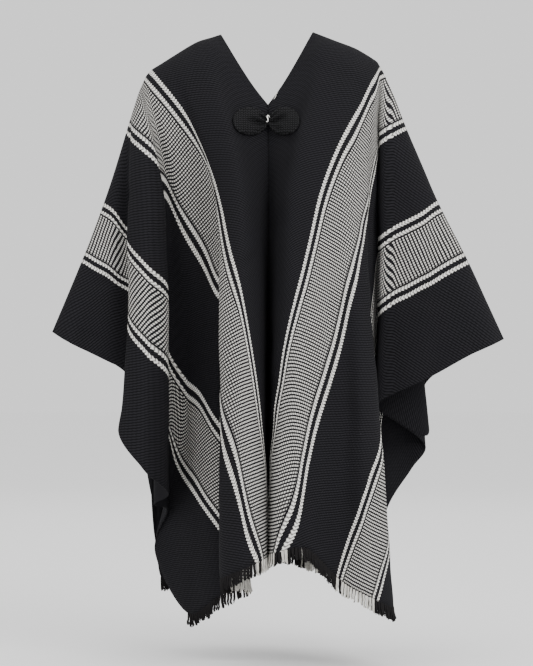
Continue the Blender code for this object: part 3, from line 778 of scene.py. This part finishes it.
def fringeTree():  # tufts along the hem, each of fine strands on a small grid
    tree = Tree("cutFringe", {
        "Pitch": "Float", "Length": "Float", "Radius": "Float", "Lean": "Float", "Curl": "Float",
        "TuftWide": "Float", "TuftDeep": "Float", "Seed": "Int", "Material": "Material"})
    given = tree.given
    seed = given["Seed"]
    points = pitchedPoints(tree, given["Pitch"])
    tint = tree.node("FunctionNodeRandomValue", {"data_type": "FLOAT"}, {"Seed": seed}, 1)
    points = store(tree, points, "tint", tint)

    # one strand, thinner towards its foot
    foot = tree.node("ShaderNodeCombineXYZ", None, {"Z": given["Length"]})
    strand = tree.node("GeometryNodeCurvePrimitiveLine", None, {"End": foot})
    sockets = {"Curve": strand, "Count": fringe["steps"]}
    strand = tree.node("GeometryNodeResampleCurve", {"mode": "COUNT"}, sockets)
    along = tree.node("GeometryNodeSplineParameter")
    strand = store(tree, strand, "along", along)
    taper = tree.maths("SUBTRACT", 1.0, tree.maths("MULTIPLY", along, fringe["taper"]))
    strand = tree.node("GeometryNodeSetCurveRadius", None, {"Curve": strand, "Radius": taper})
    strand = tube(tree, strand, given["Radius"])

    # one tuft, which knows how far from its middle each strand stands; the finish colours its outermost
    # strands dark as painted shade between tufts
    sockets = {"Size X": given["TuftWide"], "Size Y": given["TuftDeep"],
               "Vertices X": fringe["strandsWide"], "Vertices Y": fringe["strandsDeep"]}
    grid = tree.node("GeometryNodeMeshGrid", None, sockets)
    beside = tree.node("ShaderNodeSeparateXYZ", None, {0: tree.node("GeometryNodeInputPosition")})
    edge = tree.maths("DIVIDE", beside, tree.maths("MULTIPLY", given["TuftWide"], 0.5))
    grid = store(tree, grid, "edge", edge)
    splay = randomVector(tree, fringe["splayLow"], fringe["splayHigh"], 1)
    size = randomVector(tree, fringe["strandLow"], fringe["strandHigh"], 2)
    tuft = placedOn(tree, grid, strand, splay, size)

    # the tufts along the hem, then their curl
    turn = randomVector(tree, (-1, -1, -1), (1, 1, 1), seed)
    turn = tree.node("ShaderNodeVectorMath", {"operation": "SCALE"}, {0: turn, "Scale": given["Lean"]})
    turn = tree.node("FunctionNodeRotateRotation", {"rotation_space": "LOCAL"},
                     {"Rotation": facing(tree), "Rotate By": turn})
    length = randomVector(tree, fringe["tuftLow"], fringe["tuftHigh"], seed)
    real = placedOn(tree, points, tuft, turn, length)
    place = tree.node("GeometryNodeInputPosition")
    sockets = {"Vector": place, "Scale": fringe["curlScale"], "Detail": 1.0}
    cloud = tree.node("ShaderNodeTexNoise", None, sockets, "Color")
    sockets = {0: cloud, 1: (0.5, 0.5, 0.5)}
    wave = tree.node("ShaderNodeVectorMath", {"operation": "SUBTRACT"}, sockets)
    share = tree.maths("POWER", attributeOf(tree, "along", "FLOAT"), fringe["curlPower"])
    pull = tree.maths("MULTIPLY", share, given["Curl"])
    wave = tree.node("ShaderNodeVectorMath", {"operation": "SCALE"}, {0: wave, "Scale": pull})
    return tree.end(tree.node("GeometryNodeSetPosition", None, {"Geometry": real, "Offset": wave}))


stitch = {"steps": 6, "least": 0.85, "most": 1.15}


def stitchTree():
    tree = Tree("handStitches", {
        "Pitch": "Float", "Start": "Vector", "Top": "Vector", "End": "Vector", "Radius": "Float",
        "Seed": "Int", "Material": "Material"})
    given = tree.given
    points = pitchedPoints(tree, given["Pitch"])
    sockets = {"Resolution": stitch["steps"], "Start": given["Start"], "Middle": given["Top"],
               "End": given["End"]}
    loop = tube(tree, tree.node("GeometryNodeCurveQuadraticBezier", None, sockets), given["Radius"])
    sockets = {2: stitch["least"], 3: stitch["most"], "Seed": given["Seed"]}
    size = tree.node("FunctionNodeRandomValue", {"data_type": "FLOAT"}, sockets, 1)
    return tree.end(placedOn(tree, points, loop, facing(tree), size))


def pathObject(name, points, down, outward, across):
    mesh = bpy.data.meshes.new(name)
    mesh.from_pydata([Vector(p) * mm for p in points], [(i, i + 1) for i in range(len(points) - 1)], [])
    for label, values in (("down", down), ("outward", outward)):
        mesh.attributes.new(label, "FLOAT_VECTOR", "POINT").data.foreach_set(
            "vector", np.asarray(values, float).ravel())
    mesh.attributes.new("across", "FLOAT", "POINT").data.foreach_set(
        "value", np.asarray(across, float) * mm)
    return newObject(name, mesh, None)


def grow(path, tree, values, name, material):
    made = path.modifiers.new("grow", "NODES")
    made.node_group = tree
    values = {**values, "Material": material}
    for item in tree.interface.items_tree:
        if item.in_out == "INPUT" and item.name in values:
            made[item.identifier] = values[item.name]
    return plainCopy(path, name)


def makeFringe(side, half, number):
    grid = forms[side][half]
    normals = outwardNormals(grid, side, half)
    hem = [i for i in range(len(grid)) if grid[i, -1, 4] > cloth["halfLength"] - 0.5]
    down = grid[hem, -1, :3] - grid[hem, -3, :3]
    down /= np.linalg.norm(down, axis=1)[:, None]
    points = grid[hem, -1, :3] - down * fringe["root"]
    name = f"cutFringe_{half}_{side}"
    path = pathObject(name + "_path", points, down, normals[hem, -1], grid[hem, -1, 3])
    values = {"Pitch": fringe["pitch"] * mm, "Length": fringe["length"] * mm,
              "Radius": fringe["radius"] * mm, "Lean": fringe["lean"], "Curl": fringe["curl"] * mm,
              "TuftWide": fringe["tuftWide"] * mm, "TuftDeep": fringe["tuftDeep"] * mm, "Seed": number}
    piece = grow(path, fringes, values, name, fringeYarn)
    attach(piece, "root")
    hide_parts(f"fringe_{half}_{side}")
    return piece


fringes = fringeTree()
stitches = stitchTree()
fringePieces = {side: [makeFringe(side, half, 3 + k) for k, half in enumerate(("front", "back"))]
                for side in ("left", "right")}
print("fringe made")


# Seam down the centre, and the turned edge of the neck slit
seam = {"pitch": 6.0, "inset": 0.5, "reach": 2.6, "slope": 1.3, "proud": 1.0, "sunk": 0.6,
        "radius": 0.45, "seed": 5}
slit = {"pitch": 7.0, "inset": 6.0, "length": 2.4, "proud": 0.9, "sunk": 0.3, "radius": 0.4, "seed": 9}


def lineOnCloth(side, half, across, first, last):  # where that place across lies on each row
    grid = forms[side][half]
    normals = outwardNormals(grid, side, half)
    points, outward = [], []
    for row in range(first, last):
        reach = np.maximum.accumulate(grid[:, row, 3])
        points.append([np.interp(across, reach, grid[:, row, k]) for k in range(3)])
        outward.append([np.interp(across, reach, normals[:, row, k]) for k in range(3)])
    points, outward = np.array(points), np.array(outward)
    down = np.gradient(points, axis=0)
    down /= np.linalg.norm(down, axis=1)[:, None]
    return points, down, outward


def joinPieces(name, pieces):
    with bpy.context.temp_override(active_object=pieces[0], selected_editable_objects=pieces):
        bpy.ops.object.join()
    pieces[0].name = name
    pieces[0].data.name = name
    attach(pieces[0], "root")


def makeSeam():
    made = []
    values = {"Pitch": seam["pitch"] * mm, "Radius": seam["radius"] * mm, "Seed": seam["seed"],
              "Start": Vector((-seam["reach"], -seam["sunk"], -seam["slope"])) * mm,
              "Top": Vector((0, 2 * seam["proud"] + seam["sunk"], 0)) * mm,
              "End": Vector((seam["reach"], -seam["sunk"], seam["slope"])) * mm}
    for half in ("front", "back"):
        left, right = (lineOnCloth(side, half, seam["inset"], cloth["slitRows"], len(rows))
                       for side in ("left", "right"))
        outward = left[2] + right[2]
        outward /= np.linalg.norm(outward, axis=1)[:, None]
        points = (left[0] + right[0]) / 2 + outward * cloth["thickness"] / 2
        path = pathObject(f"seam_{half}", points, left[1], outward, np.zeros(len(points)))
        made.append(grow(path, stitches, values, f"seam_{half}", blackThread))
    joinPieces("centreSeam", made)


def makeSlitEdge():
    made = []
    values = {"Pitch": slit["pitch"] * mm, "Radius": slit["radius"] * mm, "Seed": slit["seed"],
              "Start": Vector((0, -slit["sunk"], -slit["length"])) * mm,
              "Top": Vector((0, slit["proud"], 0)) * mm,
              "End": Vector((0, -slit["sunk"], slit["length"])) * mm}
    for side in ("left", "right"):
        for half in ("front", "back"):
            points, down, outward = lineOnCloth(side, half, slit["inset"], 2, cloth["slitRows"])
            points = points + outward * cloth["thickness"] / 2
            path = pathObject("slitEdge", points, down, outward, np.zeros(len(points)))
            made.append(grow(path, stitches, values, f"slitEdge_{side}_{half}", blackThread))
    joinPieces("slitStitches", made)


makeSeam()
makeSlitEdge()
print("seams made")


# The bow: two pinched loops of knitting. A hollow runs out from the pinch, from and to as
# shares of the reach and of half the height, then its width and depth as shares.
Ring = namedtuple("Ring", "share height thickness")
bowRings = [
    Ring(0.00, 10.0, 9.0), Ring(0.08, 24.0, 10.5), Ring(0.17, 35.0, 12.0), Ring(0.27, 43.0, 13.0),
    Ring(0.38, 47.0, 14.0), Ring(0.50, 48.0, 14.5), Ring(0.62, 47.5, 14.5), Ring(0.73, 45.0, 13.5),
    Ring(0.83, 40.0, 12.0), Ring(0.91, 32.0, 10.0), Ring(0.97, 21.0, 7.5), Ring(1.00, 9.0, 5.0),
]
Hollow = namedtuple("Hollow", "fromS fromH toS toH wide deep")
bowHollows = {
    "left": [
        Hollow(0.00, 0.34, 0.30, 0.52, 0.17, 0.80), Hollow(0.00, -0.26, 0.62, 0.04, 0.24, 0.95),
        Hollow(0.06, -0.74, 0.40, -0.80, 0.12, 0.26), Hollow(0.10, 0.76, 0.50, 0.84, 0.10, 0.20),
    ],
    "right": [
        Hollow(0.00, -0.14, 0.60, 0.34, 0.24, 0.95), Hollow(0.02, 0.46, 0.38, 0.74, 0.13, 0.50),
        Hollow(0.04, -0.58, 0.46, -0.52, 0.14, 0.36), Hollow(0.34, -0.12, 0.66, -0.06, 0.12, 0.16),
    ],
}
bow = {
    "middle": -153.0, "reach": {"left": 58.0, "right": 52.0}, "rings": 56, "points": 72,
    "clearance": 0.5, "bridge": 14.0, "inFront": -600.0, "leastFacing": 0.4, "roundness": 0.62,
    "hollowEarly": 0.7, "hollowFull": 0.8, "deepest": 0.9, "knitStretch": 0.6,
}


def clothTree():
    verts, faces = [], []
    for mesh in sheets.values():
        first = len(verts)
        verts += [vert.co.copy() for vert in mesh.vertices]
        faces += [[first + i for i in face.vertices] for face in mesh.polygons]
    return BVHTree.FromPolygons(verts, faces)


def layOn(tree, out, height, lift):
    beside = max(abs(out), bow["bridge"]) * (-1 if out < 0 else 1)
    hit, normal, _, _ = tree.ray_cast(Vector((beside, bow["inFront"], height)) * mm, Vector((0, 1, 0)))
    wall = (cloth["thickness"] / 2 + bow["clearance"]) / max(abs(normal.y), bow["leastFacing"])
    return Vector((out * mm, hit.y - (wall + lift) * mm, height * mm))


def hollowAt(side, share, up):
    total = 0.0
    for hollow in bowHollows[side]:
        t = (share - hollow.fromS) / (hollow.toS - hollow.fromS)
        if not 0 < t < 1:
            continue
        line = hollow.fromH + (hollow.toH - hollow.fromH) * t
        fade = np.sin(np.pi * t ** bow["hollowEarly"]) ** bow["hollowFull"]
        total += hollow.deep * fade * np.exp(-((up - line) / hollow.wide) ** 2)
    return min(total, bow["deepest"])


def makeLoop(side, tree):
    sign = -1 if side == "left" else 1
    table = np.array(bowRings, float)
    bm = bmesh.new()
    layer = bm.loops.layers.uv.new("knit")
    rings, places = [], []
    for share in np.sin(np.linspace(0, np.pi / 2, bow["rings"])):
        tall = np.interp(share, table[:, 0], table[:, 1])
        thick = np.interp(share, table[:, 0], table[:, 2])
        out = cloth["seamGap"] / 2 + (bow["reach"][side] - cloth["seamGap"] / 2) * share
        ring = []
        for k in range(bow["points"]):
            angle = 2 * np.pi * k / bow["points"]
            up = np.cos(angle)
            face = max(np.sin(angle), 0) ** bow["roundness"]
            lift = thick * face * (1 - hollowAt(side, share, up))
            height = bow["middle"] + up * tall / 2
            ring.append(bm.verts.new(layOn(tree, sign * out, height, lift)))
            places.append((sign * out * mm, (height + lift * bow["knitStretch"] * up) * mm))
        rings.append(ring)
    spots = dict(zip([vert for ring in rings for vert in ring], places))
    for ring, after in zip(rings, rings[1:]):
        for k in range(bow["points"]):
            j = (k + 1) % bow["points"]
            bm.faces.new((ring[k], ring[j], after[j], after[k]))
    bm.faces.new(rings[0])
    bm.faces.new(rings[-1])
    for face in bm.faces:
        for loop in face.loops:
            loop[layer].uv = spots[loop.vert]
    bmesh.ops.recalc_face_normals(bm, faces=bm.faces)
    name = f"bowLoop_{side}"
    mesh = bpy.data.meshes.new(name)
    bm.to_mesh(mesh)
    bm.free()
    mesh.shade_smooth()
    piece = newObject(name, mesh, bowKnit)
    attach(piece, "root")
    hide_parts(f"bow_lobe_{side}")


# Two bent wires, each from place to place: out, up and how far in front. The hook lies over the
# pinch, and a loose white thread on the right edge of the neck.
pin = {
    "height": -149.0, "radius": 1.25, "front": 10.6, "sides": 5, "steps": 10,
    "bends": [(2.2, 3.0, -0.8), (0.8, 5.8, 0.6), (-1.8, 4.8, 1.0), (-1.4, 1.0, 1.2),
              (0.6, -2.0, 1.3), (-0.6, -5.4, 0.9), (-2.6, -5.0, -0.2)],
}
thread = {
    "out": 12.6, "height": -109.0, "inside": 4.0, "radius": 0.8, "sides": 3, "steps": 12,
    "bends": [(-2.6, -5.0, 0.0), (-0.6, -2.2, 2.6), (1.4, 0.6, 2.2), (-0.8, 2.4, 2.8), (2.8, 5.0, 1.4)],
}


def bentWire(name, wire, middle, material):  # middle is out, depth and height in mm
    curve = bpy.data.curves.new(name, "CURVE")
    curve.dimensions = "3D"
    curve.bevel_depth = wire["radius"] * mm
    curve.bevel_resolution = wire["sides"]
    curve.resolution_u = wire["steps"]
    curve.use_fill_caps = True
    spline = curve.splines.new("NURBS")
    spline.points.add(len(wire["bends"]) - 1)
    spline.use_endpoint_u = True
    spline.order_u = 4
    for point, (out, height, front) in zip(spline.points, wire["bends"]):
        point.co = (*((Vector(middle) + Vector((out, -front, height))) * mm), 1.0)
    piece = plainCopy(newObject(name + "_path", curve, None), name, material)
    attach(piece, "root")
    return piece


def makePin(tree):
    sides = [layOn(tree, out, pin["height"], pin["front"]) for out in (-bow["bridge"], bow["bridge"])]
    middle = (0, (sides[0].y + sides[1].y) / 2 / mm, pin["height"])
    piece = bentWire("bowHook", pin, middle, palePin)
    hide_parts("bow_clasp")


def makeThread(tree):
    onCloth = Vector((thread["out"] + thread["inside"], bow["inFront"], thread["height"])) * mm
    depth = tree.ray_cast(onCloth, Vector((0, 1, 0)))[0].y / mm - cloth["thickness"]
    piece = bentWire("looseThread", thread, (thread["out"], depth, thread["height"]), whiteThread)


tree = clothTree()
makeThread(tree)
for side in ("left", "right"):
    makeLoop(side, tree)
makePin(tree)
print("bow made")

for side, panel in panels.items():
    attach(panel, "root")
    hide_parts(f"panel_{side}")


# Floor, lights and camera, in metres
studio = {
    "floor": -1.06, "radius": 14.0, "sides": 64, "paper": (0.97, 0.97, 0.97), "roughness": 0.9, "world": 1.15,
}
Lamp = namedtuple("Lamp", "name place aim size power")
lamps = [
    Lamp("keyRight", (2.2, -3.2, 1.5), (0.0, 0.0, -0.45), 2.2, 100),
    Lamp("fillLeft", (-2.8, -2.8, 0.8), (0.0, 0.0, -0.5), 2.6, 22),
    Lamp("top", (0.0, -0.6, 3.0), (0.0, 0.0, -0.5), 2.2, 35),
    Lamp("back", (0.0, 3.6, 1.6), (0.0, 0.0, -0.5), 2.6, 15),
]
camera = {"place": (-0.0026, -4.5, -0.5066), "frameHeight": 1.1322, "sensor": 36.0}


def makeStudio():
    bm = bmesh.new()
    bmesh.ops.create_circle(bm, cap_ends=True, segments=studio["sides"], radius=studio["radius"])
    bmesh.ops.translate(bm, verts=bm.verts, vec=(0, 0, studio["floor"]))
    mesh = bpy.data.meshes.new("studioFloor")
    bm.to_mesh(mesh)
    bm.free()
    paper = Finish("paper", studio["roughness"])
    paper.color(studio["paper"])
    newObject("studioFloor", mesh, paper.material)
    world = bpy.data.worlds.new("softWorld")
    world.use_nodes = True
    background = world.node_tree.nodes["Background"].inputs
    background["Color"].default_value = (1, 1, 1, 1)
    background["Strength"].default_value = studio["world"]
    bpy.context.scene.world = world
    for lamp in lamps:
        data = bpy.data.lights.new(lamp.name, "AREA")
        data.shape = "SQUARE"
        data.size = lamp.size
        data.energy = lamp.power
        light = bpy.data.objects.new(lamp.name, data)
        light.location = lamp.place
        aim = Vector(lamp.aim) - Vector(lamp.place)
        light.rotation_euler = aim.to_track_quat("-Z", "Y").to_euler()
        bpy.context.scene.collection.objects.link(light)


def makeCamera():
    data = bpy.data.cameras.new("front")
    data.sensor_width = camera["sensor"]
    data.lens = camera["sensor"] * abs(camera["place"][1]) / camera["frameHeight"]
    view = bpy.data.objects.new("front", data)
    view.location = camera["place"]
    view.rotation_euler = (np.pi / 2, 0, 0)
    bpy.context.scene.collection.objects.link(view)
    bpy.context.scene.camera = view


makeStudio()
makeCamera()
print("studio made")
